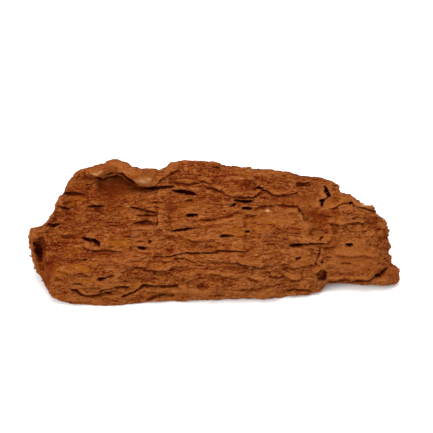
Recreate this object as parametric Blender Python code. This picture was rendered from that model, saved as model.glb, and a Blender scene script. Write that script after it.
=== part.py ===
# A piece of mangrove root: one weathered, broken lump of wood, lying on its flattened underside.
# The grain runs along X, the face that shows best looks along -Y, and +Z is up.
# Run with: blender --background --python part.py

import itertools
import math

import bmesh
import bpy
import numpy as np

# Driving dimensions, in metres
SQUARE = 0.0008  # one square of the front-view drawing, 371 squares being the root's length
EYE_DISTANCE = 1.0  # the front view is drawn as seen from here
EYE_RISE = math.radians(40)  # and from this far above the horizon
MIDDLE = 216.5  # column and row of the drawing's middle
AIM = np.array([0.0022, -0.0010, 0.0473])  # the point of the part that lies there
VOXEL = 0.0009  # size of the cells in which the lumps grow together
TRIANGLES = 11000  # facets of the finished solid
SINK = 0.0009  # how far the rough underside is pressed below the ground before it is cut flat
OVERHANG = 0.45  # how far a raised plate hangs down over the next, as a share of its height
DEEPEST_HANG = 0.003  # below this depth the wood isn't shifted further
SECTION_POINTS = 72
STATION_STEP = 3.0  # columns between two sections of the trunk
BROW_SETBACK = 0.007  # how far the top of the front side lies behind its foot
BROW_SHARE = 0.43  # its height as a share of the crest's
ARCH = 0.0035  # hollow under the middle
SMOOTHING = {"factor": 0.5, "iterations": 14}  # of the grown lump, before weather works on it
LIMB_STEPS = 6  # rings between two points of a limb's path
LIMB_POINTS = 20
LIMB_BLUR = np.array([1, 2, 3, 2, 1]) / 9  # weights that even out neighbouring rings
WELD = 1e-6

# How a normal has to lean before a face counts as front, back or end: from none of it to all of it
FRONT_FACING = (0.05, 0.45)
BACK_FACING = (0.0, 0.5)
END_FACING = (0.30, 0.85)
HANG_FROM = (0.004, 0.016)  # no plate hangs down below the first of these heights

# The eye's own directions: across is +X
UP_SEEN = np.array([0, math.sin(EYE_RISE), math.cos(EYE_RISE)])
TO_EYE = np.array([0, -math.cos(EYE_RISE), math.sin(EYE_RISE)])

# The outline of the trunk in the front view: column, row, both in squares
TOP_EDGE = [
    (29, 231), (36, 231), (44, 226), (49, 218), (52, 209), (58, 199), (62, 192), (68, 180), (75, 171.5),
    (84, 168.5), (100, 168.5), (107, 165), (113, 161), (119, 162), (127, 168), (139, 171), (152, 171.5),
    (160, 172), (167, 169.5), (170, 163.5), (175, 161.8), (195, 162), (215, 163.5), (225, 168.5),
    (245, 169.5), (266, 172), (286, 173), (299, 178), (322, 177.5), (335, 181.5), (340, 192),
    (352, 194.5), (363, 202.5), (375, 205), (378.5, 217), (385, 223.5), (388, 230), (391, 238),
]
FOOT_EDGE = [
    (29, 254), (33, 262), (38, 271), (42.5, 281), (47, 290), (52, 298), (57, 301.5), (74, 304), (123, 304),
    (150, 302), (170, 300), (218, 299), (265, 299), (285, 296), (304, 294), (321, 290), (328, 281),
    (345, 278), (360, 278), (374, 276), (384, 270), (389, 262), (391, 250),
]
# Heights of those edges above the ground: column in squares, then metres
FOOT_LIFT = [(29, 0.014), (40, 0.008), (57, 0.002), (74, 0.0), (150, 0.0), (180, 0.0015), (265, 0.0015),
             (300, 0.0005), (321, 0.002), (329, 0.008), (360, 0.010), (383, 0.013), (391, 0.019)]
CREST_HEIGHT = [(29, 0.044), (50, 0.055), (80, 0.067), (120, 0.071), (250, 0.072), (330, 0.064),
                (375, 0.053), (391, 0.043)]
BACK_SPREAD = (-40, -20, 0, 20, 40)  # the back follows the crest's average over these columns
BACK_REACH = [(29, 0.010), (80, 0.014), (160, 0.018), (260, 0.017), (340, 0.014), (391, 0.010)]
LEAST_BACK = 0.008  # metres of wood behind the crest, at least
BACK_CORNERS = [(0.96, 0.84), (1.0, 0.50), (0.97, 0.15), (0.88, 0.0)]  # shares of depth and of height
FACE_SHARES = (0.3, 0.7)  # of the way from brow to crest, where the face bulges
UNDERSIDE_SHARES = (0.50, 0.12)  # of the depth, where the underside is arched and where it meets the foot
FOOT_CURL = (0.1, 0.5)  # the corner above the foot, as shares of the brow's setback and height
FOOT_GAP = 0.0003
HEEL_LIFT = 0.6  # height of the back's foot as a share of the front's
FACE_BULGE = [(29, 0.001), (90, 0.003), (200, 0.004), (330, 0.004), (391, 0.002)]

# Limbs that grow out of the trunk: column, row, z, half height in squares, half depth in metres
LIP = [(80, 172.5, 0.0655, 3.6, 0.006), (90, 172.5, 0.068, 5.0, 0.008), (98, 171.8, 0.070, 6.0, 0.009),
       (103, 170.3, 0.0715, 5.8, 0.009), (107, 168.3, 0.073, 6.0, 0.009), (112, 165.8, 0.0745, 7.2, 0.009),
       (118, 165.2, 0.075, 7.0, 0.009), (123, 167.5, 0.0745, 6.5, 0.009), (128, 171, 0.0735, 7.2, 0.009),
       (134, 175.5, 0.072, 8.8, 0.009), (141, 178, 0.070, 10.3, 0.010), (149, 178.5, 0.068, 10.3, 0.009),
       (157, 178.5, 0.066, 9.5, 0.008), (166, 176, 0.064, 7.5, 0.007), (174, 174, 0.062, 6.0, 0.006)]
FLANGE = [(39, 231, 0.037, 5.0, 0.007), (33.5, 230.5, 0.037, 4.8, 0.006), (33, 241, 0.033, 3.2, 0.006),
          (34, 251, 0.026, 3.6, 0.006), (37.5, 262, 0.019, 4.2, 0.006), (45, 276, 0.011, 5.0, 0.006)]
TOE = [(316, 278, 0.007, 5.5, 0.008), (335, 277.5, 0.007, 5.3, 0.010), (350, 277.3, 0.007, 5.0, 0.011),
       (365, 276.5, 0.007, 6.3, 0.011), (377, 275.3, 0.008, 8.2, 0.010), (386, 273.6, 0.008, 10.3, 0.010),
       (391, 273.2, 0.0078, 10.3, 0.010), (396, 273.2, 0.0076, 8.6, 0.008), (399, 273.6, 0.0074, 5.6, 0.005)]

# Borer slots in the face: column, row, half length, half height in squares, tilt in degrees, depth in metres
SLOTS = [
    (72, 193.5, 10, 1.9, 0, 0.0055), (53, 225, 6.5, 1.7, 12, 0.005), (96, 206.2, 8, 1.5, 0, 0.0055),
    (160, 187.4, 13, 1.7, 3, 0.007), (185, 192, 12, 2.1, -8, 0.010), (192.5, 215, 6, 1.8, 2, 0.010),
    (183.5, 229.4, 11, 1.5, 9, 0.007), (89.5, 239.6, 7.5, 2.3, -10, 0.008),
    (96.8, 242.6, 4.6, 2.4, -32, 0.010), (101.5, 276.6, 4, 1.9, 3, 0.009), (110, 274.8, 5, 1.1, 9, 0.003),
    (141.5, 247.8, 4.5, 1.5, 0, 0.006),
    (150.2, 241.2, 2, 1.3, 0, 0.004), (84.5, 259.4, 3, 1.3, 8, 0.003), (244, 201, 9, 1.7, -2, 0.010),
    (246.5, 208.6, 5.5, 1.6, 0, 0.010), (233.4, 206, 3.4, 1.2, 33, 0.006), (259.5, 186, 4.2, 1.3, 0, 0.006),
    (227.5, 235, 6.5, 1.9, 7, 0.008), (248, 231, 2.2, 1.6, 0, 0.006), (298.2, 257.5, 2.3, 1.4, 0, 0.006),
    (297, 245, 6.5, 1.7, 3, 0.007), (311, 243, 11, 1.1, 5, 0.005), (321.0, 236.6, 2.4, 1.1, 32, 0.004),
    (350, 244.2, 3.4, 1.7, 0, 0.010), (327.0, 190.8, 1.8, 2.2, 30, 0.009),
    (330, 195.2, 2.6, 1.3, -30, 0.008),
    (322.2, 200.6, 2.0, 2.0, 20, 0.008), (322.4, 205.2, 1.2, 1.8, 0, 0.005),
    (350.3, 201.6, 2.4, 1.9, -20, 0.007), (321.5, 274.8, 4.9, 5.8, 0, 0.0060),
    (379.5, 273, 5.5, 2.2, 35, 0.0030), (238, 263.6, 5, 1.0, -20, 0.003),
    (217, 167.3, 3.5, 1.3, -20, 0.003), (180, 257.9, 4.8, 1.1, 0, 0.004),
]
# Long cracks along the grain: width in squares, depth in metres, then columns and rows
CRACKS = [
    (1.0, 0.004, [(154, 256.6), (173, 255.5), (184, 253.5), (193, 254.1), (204, 253.1), (216, 252.3),
                  (222, 250.2), (234, 250.9), (243, 251.0), (250, 249.4)]),
    (1.2, 0.005, [(71, 290.7), (76, 292), (81, 294.5), (88, 295.9), (98, 295.3), (111, 292.7)]),
    (1.2, 0.005, [(98, 292.6), (106, 288.8), (114, 287), (122, 287.2), (129, 287.7)]),
    (1.1, 0.005, [(122, 296), (133, 292.6), (139.5, 288.6), (144, 286.4), (153, 287), (165, 286),
                  (178, 285.3)]),
    (1.0, 0.003, [(146, 298.7), (160, 295.3), (174, 294.7)]),
    (1.2, 0.005, [(131, 207.6), (143, 210.8), (156, 213.2)]),
    (1.1, 0.004, [(137, 215.8), (147.5, 216.4), (157, 217.4)]),
    (1.0, 0.003, [(286, 290), (293, 288.3), (311, 288.6)]),
    (1.4, 0.004, [(327, 280.6), (345, 281.4), (361, 281.2), (371, 279.4), (376, 275.5), (381, 271.8),
                  (387, 268.5)]),
]
# Edges of flaked plates: height in metres (below zero, it is a hollow), how far the plate reaches back in
# squares (below zero, it lies under the edge), then columns and rows
LEDGES = [
    (-0.0100, -9, [(98, 177.2), (103.4, 176.4), (106.6, 173.5), (110.5, 172.2), (120.7, 172.9), (125, 174.8),
                   (130, 179.1), (135.5, 183.8), (140.1, 186.5), (144.2, 187.5), (157, 187.4)]),
    (0.0030, 22, [(205, 184.5), (216, 187), (225, 191.8), (232, 195), (245, 195.3), (254, 195.8),
                  (258, 193), (262, 187.5), (267, 188.5), (273, 192.5), (277, 193.8), (289, 192.5),
                  (297, 190.5)]),
    (0.0026, 12, [(157, 183.5), (160, 179.2), (166, 175.8), (169, 172.2), (178, 168.2)]),
    (0.0040, -26, [(256, 210), (262, 207.4), (280, 206.8), (297, 207.6), (301.5, 212.6), (304, 219.3),
                   (309, 222)]),
    (0.0028, 12, [(289, 241), (296, 241.3), (310, 240.6), (324, 241.3), (331, 238.6)]),
    (0.0027, 9, [(143, 267.2), (157, 269.6), (164, 269.2), (172, 267.3)]),
    (0.0030, 9, [(231, 261.5), (237, 260.4), (244, 263.7), (254, 263.6), (262, 266)]),
    (0.0026, 8, [(209, 273.4), (218, 272.6), (228, 275.8), (238, 275.4)]),
    (0.0025, 7, [(247, 276), (254.6, 278.4), (263, 278)]),
    (0.0028, 8, [(271, 274.4), (277.5, 275.6), (284, 274.2), (292, 278.4), (300, 279)]),
    (0.0027, -18, [(200, 221.6), (216, 221), (228, 217.2), (234, 214.4), (243, 213.8)]),
    (0.0025, 8, [(297, 181), (308, 181.9)]),
    (0.0026, 7, [(189, 238.6), (197, 240), (203, 238.8)]),
    (0.0023, -8, [(131, 226.5), (156.5, 226)]),
    (0.0026, 8, [(94, 176.8), (103, 176.2)]),
    (0.0019, 6, [(236, 286.4), (247, 287.3), (261, 287.6)]),
    (0.0019, 6, [(208, 289.5), (223, 288.9)]),
    (0.0022, 9, [(84, 246.5), (96, 249), (110, 248), (121, 250.5)]),
    (0.0022, 8, [(125, 264), (134, 266), (146, 264.5)]),
    (0.0020, 8, [(60, 270), (70, 272.5), (83, 271), (92, 273)]),
    (0.0022, -9, [(60, 197), (74, 196.4), (85, 197.5)]),
    (0.0022, 9, [(330, 222), (343, 223.4), (356, 221), (366, 223)]),
    (0.0010, 9, [(336, 254), (350, 256), (364, 254.5), (376, 257)]),
    (0.0022, 10, [(176, 181.5), (188, 182.6), (200, 180.2), (212, 181)]),
    (0.0030, 9, [(331, 206.5), (338, 204.6), (344, 201), (351, 200), (356, 204), (366, 207), (377, 209)]),
]
# How far the rims of the forms spread: for ovals in shares (0 on the rim, 1 in the middle), else in squares
HOLLOW_RIM = (0, 0.9)
SLOT_RIM = (-0.45, 0.35)
BACK_RIM = (0, 0.8)
CALM_RIM = (0, 0.6)
LEDGE_RIM = (-0.5, 0.7)
LEDGE_TAPER = 3
CRACK_TAPER = 2
# The groove under a raised plate: its depth as a share of the plate's height, its place and width in squares
UNDERCUT = {"share": 0.45, "below": 1.3, "width": 1.1}
# Shallow hollows: column, row, half length, half height in squares, tilt in degrees, depth in metres
HOLLOWS = [
    (120, 188, 30, 11, 8, 0.0036), (40.8, 248, 5.4, 15, 0, 0.0055), (98, 209.6, 6.5, 3.6, 0, 0.0048),
    (144, 222.8, 12, 3.2, 0, 0.0044), (151, 215, 10, 3.6, 0, 0.0024), (318, 218, 14, 9, -20, 0.0016),
    (303, 184.8, 9, 4.5, 0, 0.0018), (243, 204.5, 12, 5, 0, 0.0020), (120, 290.5, 20, 4, 8, 0.0018),
    (203, 285, 9, 4, 0, 0.0020), (334, 198, 9, 9, 0, 0.0014), (380, 273.5, 8.5, 5, 32, 0.0036),
]
# Where the wood of the face stayed sound and smooth: ovals as above, then how much of the weather it escaped
CALM = [
    (120, 186, 32, 14, 8, 0.8), (143, 180, 16, 8, 0, 0.75), (110, 167, 20, 8, 0, 0.7),
    (70, 186, 17, 9, -50, 0.7), (46, 280, 9, 26, -25, 0.8), (324, 218, 22, 10, -12, 0.5),
    (292, 200, 34, 6, 3, 0.5), (354, 258, 27, 18, 0, 0.75), (276, 217, 22, 7, 0, 0.4),
    (393, 273, 14, 8, 0, 0.6),
]
# Forms of the back, as it is seen from behind: x and z in metres, half length and half height, tilt, depth
BACK_SLOTS = [
    (-0.096, 0.043, 0.010, 0.0017, 4, 0.008), (-0.052, 0.054, 0.007, 0.0016, -6, 0.007),
    (-0.030, 0.032, 0.009, 0.0018, 0, 0.009), (0.018, 0.049, 0.008, 0.0015, 8, 0.007),
    (0.047, 0.036, 0.006, 0.0017, -4, 0.008), (0.078, 0.050, 0.010, 0.0018, 3, 0.009),
    (0.108, 0.034, 0.005, 0.0016, 0, 0.006), (-0.110, 0.027, 0.006, 0.0015, -8, 0.006),
    (0.004, 0.020, 0.011, 0.0016, 3, 0.006), (0.066, 0.020, 0.008, 0.0016, -3, 0.006),
]
BACK_HOLLOWS = [
    (-0.070, 0.040, 0.040, 0.009, 6, 0.0045), (0.050, 0.044, 0.034, 0.008, -5, 0.0040),
    (0.000, 0.058, 0.030, 0.006, 3, 0.0030), (0.104, 0.042, 0.018, 0.010, 0, 0.0030),
]

# What weather and decay did all over: height and cell in metres, and for flakes how many steps a level has
BROAD_WAVES = (0.0015, (0.060, 0.024, 0.024))
THICK_FLAKES = (0.0022, (0.052, 0.010, 0.010), 3)
THIN_FLAKES = (0.0009, (0.015, 0.0042, 0.0042), 2)
CRUMBS = (0.0024, (0.014, 0.010, 0.010), 3)
CRUMBLING = [(34, 0.35), (62, 0.0), (322, 0.0), (372, 1.0)]  # column, then how much of the crumbs it gets
SNAPPED_BUNDLES = (0.0017, (0.060, 0.0110, 0.0090), 2)
SNAPPED_FIBRES = (0.0004, (0.040, 0.0036, 0.0030))
LEFT_SNAP = 0.35  # the left end snapped off more evenly than the right, by this share
# How ragged the hand-placed forms are: columns and rows, in squares, each with its cell
RAGGED_COLUMNS = (1.6, (0.009, 0.005, 0.005))
RAGGED_ROWS = (0.9, (0.007, 0.004, 0.004))
# A flaked level is a coarse noise and a share of one whose cells are smaller by a share
FINER_SHARE = 0.45
FINER_CELL = 0.4
STEP_EDGE = (0.42, 0.58)  # part of a level over which it steps up to the next
SEEDS = {"columns": 11, "rows": 12, "back columns": 13, "back rows": 14, "waves": 21, "thick": 31,
         "thin": 41, "crumbs": 51, "bundles": 61, "fibres": 71}
NOISE_GAIN = 1.6  # brings the noise to about -1 to 1

WOOD = {"name": "wood", "colour": (0.262, 0.082, 0.022, 1.0), "roughness": 0.8, "metallic": 0.0}


def noise(points, cell, seed):
    """Smooth noise of about -1 to 1 at each point, on a lattice of cells of a size along X, Y and Z."""
    rng = np.random.default_rng(seed)
    order = rng.permutation(256)
    slopes = rng.normal(size=(256, 3))
    slopes /= np.linalg.norm(slopes, axis=1)[:, None]
    places = points / np.array(cell)
    corner = np.floor(places).astype(int)
    inside = places - corner
    fade = inside**3 * (inside * (inside * 6 - 15) + 10)
    total = np.zeros(len(points))
    for shift in itertools.product((0, 1), repeat=3):
        at = corner + shift
        which = order[(order[(order[at[:, 0] & 255] + at[:, 1]) & 255] + at[:, 2]) & 255]
        value = ((inside - shift) * slopes[which]).sum(axis=1)
        total += value * np.prod(np.where(shift, fade, 1 - fade), axis=1)
    return total * NOISE_GAIN


def smoothstep(low, high, value):
    """0 below low, 1 above high, and a smooth ramp between them."""
    share = np.clip((value - low) / (high - low), 0, 1)
    return share * share * (3 - 2 * share)


def seen(points):
    """Columns and rows at which the front view shows points of the part."""
    offset = points - AIM
    scale = EYE_DISTANCE / (EYE_DISTANCE - offset @ TO_EYE) / SQUARE
    return MIDDLE + offset[:, 0] * scale, MIDDLE - offset @ UP_SEEN * scale


def placed(column, row, z):
    """The point at height z that the front view shows at a column and a row."""
    across = (column - MIDDLE) * SQUARE / EYE_DISTANCE
    up = (MIDDLE - row) * SQUARE / EYE_DISTANCE
    eye = AIM + EYE_DISTANCE * TO_EYE
    sight = np.array([across, 0, 0]) + up * UP_SEEN - TO_EYE
    return eye + sight * (z - eye[2]) / sight[2]


def along(pairs, column):
    """The second number of a list of pairs, read at a column."""
    return float(np.interp(column, *zip(*pairs)))


def smooth_loop(corners, count):
    """Points of a smooth closed curve through corners."""
    corners = np.array(corners)
    places = np.arange(count) * len(corners) / count
    first = np.floor(places).astype(int)
    t = (places - first)[:, None]
    a, b, c, d = (corners[(first + shift) % len(corners)] for shift in (-1, 0, 1, 2))
    return 0.5 * (2 * b + (c - a) * t + (2 * a - 5 * b + 4 * c - d) * t**2 + (3 * b - a - 3 * c + d) * t**3)


def section(column):
    """One closed section of the trunk, standing across the grain."""
    foot = placed(column, along(FOOT_EDGE, column), along(FOOT_LIFT, column))
    crest = placed(column, along(TOP_EDGE, column), along(CREST_HEIGHT, column))
    brow = np.array([foot[0], foot[1] + BROW_SETBACK, foot[2] + BROW_SHARE * (crest[2] - foot[2])])
    outward = TO_EYE * along(FACE_BULGE, column)
    near = [placed(c, along(TOP_EDGE, c), along(CREST_HEIGHT, c))[1] for c in column + np.array(BACK_SPREAD)]
    reach = along(BACK_REACH, column)
    depth = max(sum(near) / len(near) + reach, crest[1] + LEAST_BACK) - foot[1]
    heel_z = HEEL_LIFT * foot[2]
    height = crest[2] - heel_z
    x = (foot[0] + crest[0]) / 2
    curl = foot + (0, FOOT_CURL[0] * BROW_SETBACK, FOOT_CURL[1] * (brow[2] - foot[2]))
    face = [brow + (crest - brow) * share + outward for share in FACE_SHARES]
    back = [(x, foot[1] + far * depth, heel_z + high * height) for far, high in BACK_CORNERS]
    back[0] = (x, min(back[0][1], crest[1] + reach), back[0][2])
    underside = [
        (x, foot[1] + UNDERSIDE_SHARES[0] * depth, (heel_z + foot[2]) / 2 + ARCH),
        (x, foot[1] + UNDERSIDE_SHARES[1] * depth, foot[2] + FOOT_GAP),
    ]
    return smooth_loop([foot, curl, brow, *face, crest, *back, *underside], SECTION_POINTS)


def skin(mesh, rings):
    """Walls between rings of points, closed with a fan at each end."""
    rows = [[mesh.verts.new(point) for point in ring] for ring in rings]
    for row, following in zip(rows, rows[1:]):
        for here, beside in zip(range(len(row)), [*range(1, len(row)), 0]):
            mesh.faces.new((row[here], following[here], following[beside], row[beside]))
    for row, turned in ((rows[0], False), (rows[-1], True)):
        tip = mesh.verts.new(sum((v.co for v in row[1:]), row[0].co.copy()) / len(row))
        for here, beside in zip(row, row[1:] + row[:1]):
            mesh.faces.new((here, tip, beside) if turned else (beside, tip, here))


def limb_rings(path):
    """Oval rings along a limb's path, as wide as it says in the front view and as deep along the sight."""
    path = np.array(path, float)
    steps = np.linspace(0, len(path) - 1, LIMB_STEPS * len(path))
    fine = np.array([[np.interp(s, range(len(path)), path[:, k]) for k in range(5)] for s in steps])
    reach = len(LIMB_BLUR) // 2
    padded = np.pad(fine, ((reach, reach), (0, 0)), mode="edge")
    fine = np.array([LIMB_BLUR @ padded[i:i + len(LIMB_BLUR)] for i in range(len(fine))])
    heading = np.gradient(fine[:, :2], axis=0)
    heading /= np.linalg.norm(heading, axis=1)[:, None]
    rings = []
    for (column, row, z, half_height, half_depth), (run, fall) in zip(fine, heading):
        aside = (np.array([fall, 0, 0]) + run * UP_SEEN) * half_height * SQUARE
        middle = placed(column, row, z)
        angles = np.linspace(0, 2 * math.pi, LIMB_POINTS, endpoint=False)
        rings.append([middle + aside * math.cos(a) + TO_EYE * half_depth * math.sin(a) for a in angles])
    return rings


def rough_lumps():
    """The trunk and its limbs as overlapping closed lumps, in one mesh."""
    mesh = bmesh.new()
    columns = np.arange(TOP_EDGE[0][0], TOP_EDGE[-1][0] + 0.1, STATION_STEP)
    skin(mesh, [section(column) for column in columns])
    for path in (LIP, FLANGE, TOE):
        skin(mesh, limb_rings(path))
    bmesh.ops.recalc_face_normals(mesh, faces=mesh.faces)
    data = bpy.data.meshes.new("lumps")
    mesh.to_mesh(data)
    mesh.free()
    return data


def with_modifiers(data, *settings):
    """The mesh that modifiers make of another mesh."""
    holder = bpy.data.objects.new("holder", data)
    bpy.context.scene.collection.objects.link(holder)
    for kind, values in settings:
        modifier = holder.modifiers.new(kind.lower(), kind)
        for name, value in values.items():
            setattr(modifier, name, value)
    graph = bpy.context.evaluated_depsgraph_get()
    made = bpy.data.meshes.new_from_object(holder.evaluated_get(graph), depsgraph=graph)
    bpy.data.objects.remove(holder)
    return made


def coordinates(data):
    flat = np.empty(len(data.vertices) * 3, np.float32)
    data.vertices.foreach_get("co", flat)
    return flat.reshape(-1, 3).astype(float)


def normals(data):
    flat = np.empty(len(data.vertices) * 3, np.float32)
    data.vertex_normals.foreach_get("vector", flat)
    return flat.reshape(-1, 3).astype(float)


def oval_share(across, down, form):
    """How far points lie inside a tilted oval: 1 at its middle, 0 on its rim and below 0 outside."""
    column, row, half_length, half_height, tilt = form[:5]
    turn = math.radians(tilt)
    run = (across - column) * math.cos(turn) - (down - row) * math.sin(turn)
    drop = (across - column) * math.sin(turn) + (down - row) * math.cos(turn)
    return 1 - (run / half_length) ** 2 - (drop / half_height) ** 2


def edge_distance(columns, rows, path, taper):
    """How far above a path points lie, in squares, and the share of its effect that they get at its ends."""
    xs, ys = zip(*path)
    share = smoothstep(-taper, taper, columns - xs[0]) * smoothstep(-taper, taper, xs[-1] - columns)
    return np.interp(columns, xs, ys) - rows, share


def face_forms(points):
    """Height of the hand-placed forms of the face, in metres, at each point."""
    columns, rows = seen(points)
    wild = 1 - calmness(points)
    columns = columns + wild * RAGGED_COLUMNS[0] * noise(points, RAGGED_COLUMNS[1], SEEDS["columns"])
    rows = rows + wild * RAGGED_ROWS[0] * noise(points, RAGGED_ROWS[1], SEEDS["rows"])
    height = np.zeros(len(points))
    for form in HOLLOWS:
        height -= form[5] * smoothstep(*HOLLOW_RIM, oval_share(columns, rows, form))
    for proud, reach, path in LEDGES:
        above, share = edge_distance(columns, rows, path, LEDGE_TAPER)
        above = above if reach > 0 else -above
        height += proud * share * smoothstep(*LEDGE_RIM, above) * np.exp(-np.maximum(above, 0) / abs(reach))
        groove = np.exp(-((above + UNDERCUT["below"]) / UNDERCUT["width"]) ** 2)
        height -= UNDERCUT["share"] * max(proud, 0) * share * groove
    for width, depth, path in CRACKS:
        above, share = edge_distance(columns, rows, path, CRACK_TAPER)
        height -= depth * share * np.exp(-(above / width) ** 2)
    for form in SLOTS:
        height -= form[5] * smoothstep(*SLOT_RIM, oval_share(columns, rows, form))
    return height


def calmness(points):
    """How much of the weather each point of the face escaped, from 0 to 1."""
    columns, rows = seen(points)
    shares = [form[5] * smoothstep(*CALM_RIM, oval_share(columns, rows, form)) for form in CALM]
    return np.max(shares, axis=0)


def back_forms(points):
    """Height of the hand-placed forms of the back."""
    astray = RAGGED_COLUMNS[0] * noise(points, RAGGED_COLUMNS[1], SEEDS["back columns"])
    aslant = RAGGED_ROWS[0] * noise(points, RAGGED_ROWS[1], SEEDS["back rows"])
    x = points[:, 0] + SQUARE * astray
    z = points[:, 2] + SQUARE * aslant
    height = np.zeros(len(points))
    for form in BACK_HOLLOWS + BACK_SLOTS:
        height -= form[5] * smoothstep(*BACK_RIM, oval_share(x, z, form))
    return height


def flaked(points, cell, seed, steps):
    """Terraces of flaked wood, whose edges run along the grain: level after level of about -1 to 1."""
    finer = noise(points, np.array(cell) * FINER_CELL, seed + 1)
    level = (noise(points, cell, seed) + FINER_SHARE * finer) * steps
    lower = np.floor(level)
    return (lower + smoothstep(*STEP_EDGE, level - lower)) / steps


def grain_forms(points):
    """Height of what weather and decay did all over: broad waves, flaked layers and, at the ends, crumbs."""
    crumbling = np.interp(seen(points)[0], *zip(*CRUMBLING))
    height = BROAD_WAVES[0] * noise(points, BROAD_WAVES[1], SEEDS["waves"])
    for (size, cell, steps), name in ((THICK_FLAKES, "thick"), (THIN_FLAKES, "thin")):
        height += size * flaked(points, cell, SEEDS[name], steps)
    size, cell, steps = CRUMBS
    height += crumbling * size * flaked(points, cell, SEEDS["crumbs"], steps)
    return height


def splintered(points):
    """How far the broken ends reach out along the grain, each bundle of fibres snapped at its own length."""
    size, cell, steps = SNAPPED_BUNDLES
    fibres = SNAPPED_FIBRES[0] * noise(points, SNAPPED_FIBRES[1], SEEDS["fibres"])
    return size * flaked(points, cell, SEEDS["bundles"], steps) + fibres


def weathered(data):
    """The smooth lump with its forms raised and sunk."""
    points, outward = coordinates(data), normals(data)
    front = smoothstep(*FRONT_FACING, outward @ TO_EYE)
    behind = smoothstep(*BACK_FACING, outward[:, 1])
    placed_by_hand = front * face_forms(points)
    shown = np.maximum(front, smoothstep(*END_FACING, np.abs(outward[:, 0])))
    all_over = grain_forms(points) * (1 - shown * calmness(points)) + behind * back_forms(points)
    moved = points + outward * all_over[:, None] + TO_EYE * placed_by_hand[:, None]
    ending = smoothstep(*END_FACING, outward[:, 0]) - LEFT_SNAP * smoothstep(*END_FACING, -outward[:, 0])
    moved[:, 0] += ending * (1 - calmness(points)) * splintered(points)
    raised = np.maximum(all_over + placed_by_hand, -DEEPEST_HANG)
    hanging = OVERHANG * front * raised * smoothstep(*HANG_FROM, points[:, 2])
    moved -= UP_SEEN * hanging[:, None]
    data.vertices.foreach_set("co", moved.astype(np.float32).ravel())
    data.update()
    return data


def without_scraps(mesh):
    """Drops what came loose from the largest body."""
    left, bodies = set(mesh.verts), []
    while left:
        body, fresh = set(), [left.pop()]
        while fresh:
            vertex = fresh.pop()
            body.add(vertex)
            near = {edge.other_vert(vertex) for edge in vertex.link_edges} & left
            left -= near
            fresh.extend(near)
        bodies.append(body)
    scraps = [vertex for body in sorted(bodies, key=len)[:-1] for vertex in body]
    bmesh.ops.delete(mesh, geom=scraps, context="VERTS")


def cut_flat(data):
    """The solid with its underside cut level with the ground, which leaves a few flat spots to rest on."""
    mesh = bmesh.new()
    mesh.from_mesh(data)
    bmesh.ops.translate(mesh, verts=mesh.verts, vec=(0, 0, -SINK))
    whole = [*mesh.verts, *mesh.edges, *mesh.faces]
    bmesh.ops.bisect_plane(mesh, geom=whole, dist=WELD, plane_co=(0, 0, 0), plane_no=(0, 0, -1),
                           clear_outer=True)
    rim = [edge for edge in mesh.edges if edge.is_boundary]
    bmesh.ops.triangle_fill(mesh, edges=rim, use_beauty=True)
    bmesh.ops.triangulate(mesh, faces=mesh.faces)
    without_scraps(mesh)
    bmesh.ops.recalc_face_normals(mesh, faces=mesh.faces)
    mesh.to_mesh(data)
    mesh.free()
    return data


def wood_material():
    material = bpy.data.materials.new(WOOD["name"])
    material.use_nodes = True
    shader = material.node_tree.nodes["Principled BSDF"]
    shader.inputs["Base Color"].default_value = WOOD["colour"]
    shader.inputs["Roughness"].default_value = WOOD["roughness"]
    shader.inputs["Metallic"].default_value = WOOD["metallic"]
    return material


def build_root():
    remeshing = {"mode": "VOXEL", "voxel_size": VOXEL}
    grown = with_modifiers(rough_lumps(), ("REMESH", remeshing), ("SMOOTH", SMOOTHING))
    carved = weathered(grown)
    carved.calc_loop_triangles()
    share = TRIANGLES / len(carved.loop_triangles)
    fewer = with_modifiers(carved, ("DECIMATE", {"ratio": share}))
    root = bpy.data.objects.new("root", cut_flat(fewer))
    bpy.context.scene.collection.objects.link(root)
    root.data.materials.clear()
    root.data.materials.append(wood_material())
    return root


for old in list(bpy.data.objects):
    bpy.data.objects.remove(old)
build_root()
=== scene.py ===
import functools
import itertools
import math

import bmesh
import bpy
import numpy as np
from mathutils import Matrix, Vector


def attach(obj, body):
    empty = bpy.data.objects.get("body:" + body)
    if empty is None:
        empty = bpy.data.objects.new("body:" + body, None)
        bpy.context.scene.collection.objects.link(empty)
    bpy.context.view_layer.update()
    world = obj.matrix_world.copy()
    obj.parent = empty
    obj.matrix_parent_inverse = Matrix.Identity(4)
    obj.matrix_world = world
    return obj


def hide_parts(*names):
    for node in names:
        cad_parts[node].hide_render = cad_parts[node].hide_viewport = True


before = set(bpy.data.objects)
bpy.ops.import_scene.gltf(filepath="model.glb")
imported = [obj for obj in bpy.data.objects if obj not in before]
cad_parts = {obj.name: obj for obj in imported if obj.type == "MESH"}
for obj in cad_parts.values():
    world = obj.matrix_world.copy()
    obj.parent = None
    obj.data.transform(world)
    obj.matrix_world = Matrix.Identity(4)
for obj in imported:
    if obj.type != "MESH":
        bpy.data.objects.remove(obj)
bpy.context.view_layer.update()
print("frame loaded:", sorted(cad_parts))

# The front view is drawn in squares of the photograph; the camera stands where it is drawn from
view = {
    "square": 0.0008,       # metres
    "eyeDistance": 1.0,
    "eyeRise": math.radians(40),
    "squares": 433,         # along each side of the drawing
    "middle": 216.5,        # column and row of the drawing's middle
    "aim": np.array([0.0022, -0.001, 0.0473]),     # what lies there
}
upSeen = np.array([0, math.sin(view["eyeRise"]), math.cos(view["eyeRise"])])
toEye = np.array([0, -math.cos(view["eyeRise"]), math.sin(view["eyeRise"])])

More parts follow.
